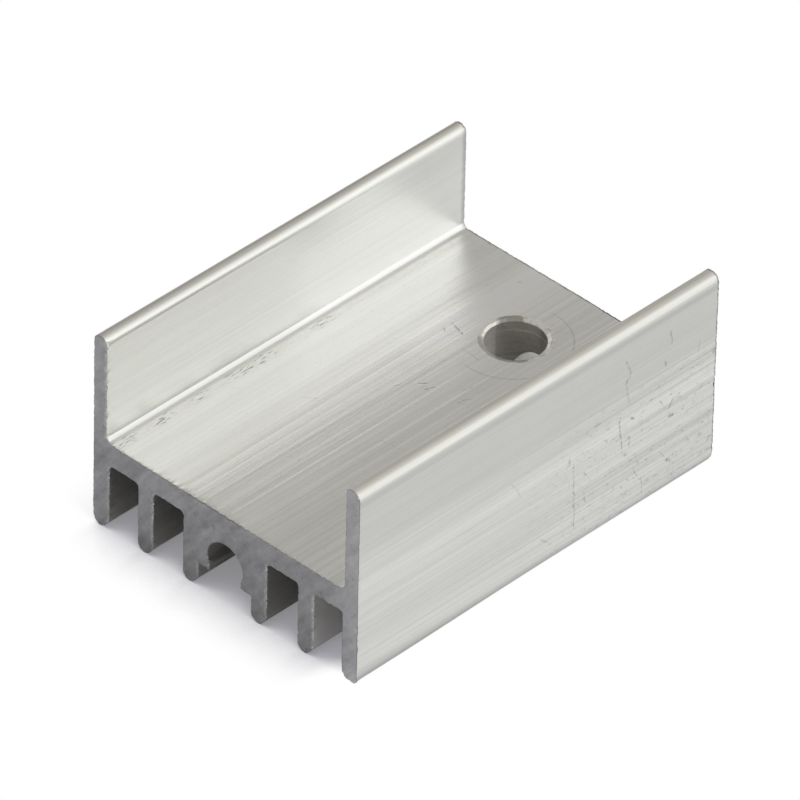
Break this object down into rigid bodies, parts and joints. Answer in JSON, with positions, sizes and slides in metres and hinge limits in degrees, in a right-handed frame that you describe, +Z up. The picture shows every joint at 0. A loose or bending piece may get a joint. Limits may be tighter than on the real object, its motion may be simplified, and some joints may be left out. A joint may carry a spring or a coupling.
{
  "type": "transistor heat sink",
  "caption": "Small extruded aluminium heat sink with a flat transistor bay between two side walls, cooling fins underneath, a round pin channel and a screw hole.",
  "frame": {"origin": "middle of the length and width, on the plane that the fin tips stand on", "axes": "+Y along the extrusion, from the end the pins leave to the end with the screw hole; +Z up, from the fin tips to the tops of the side walls; +X across the section"},
  "size_m": [0.0152, 0.021, 0.0097],
  "materials": {
    "aluminium": "bare mill-finish extrusion with fine die lines, sawn ends"
  },
  "bodies": {
    "root": {"heat_sink": "aluminium"}
  },
  "joints": []
}
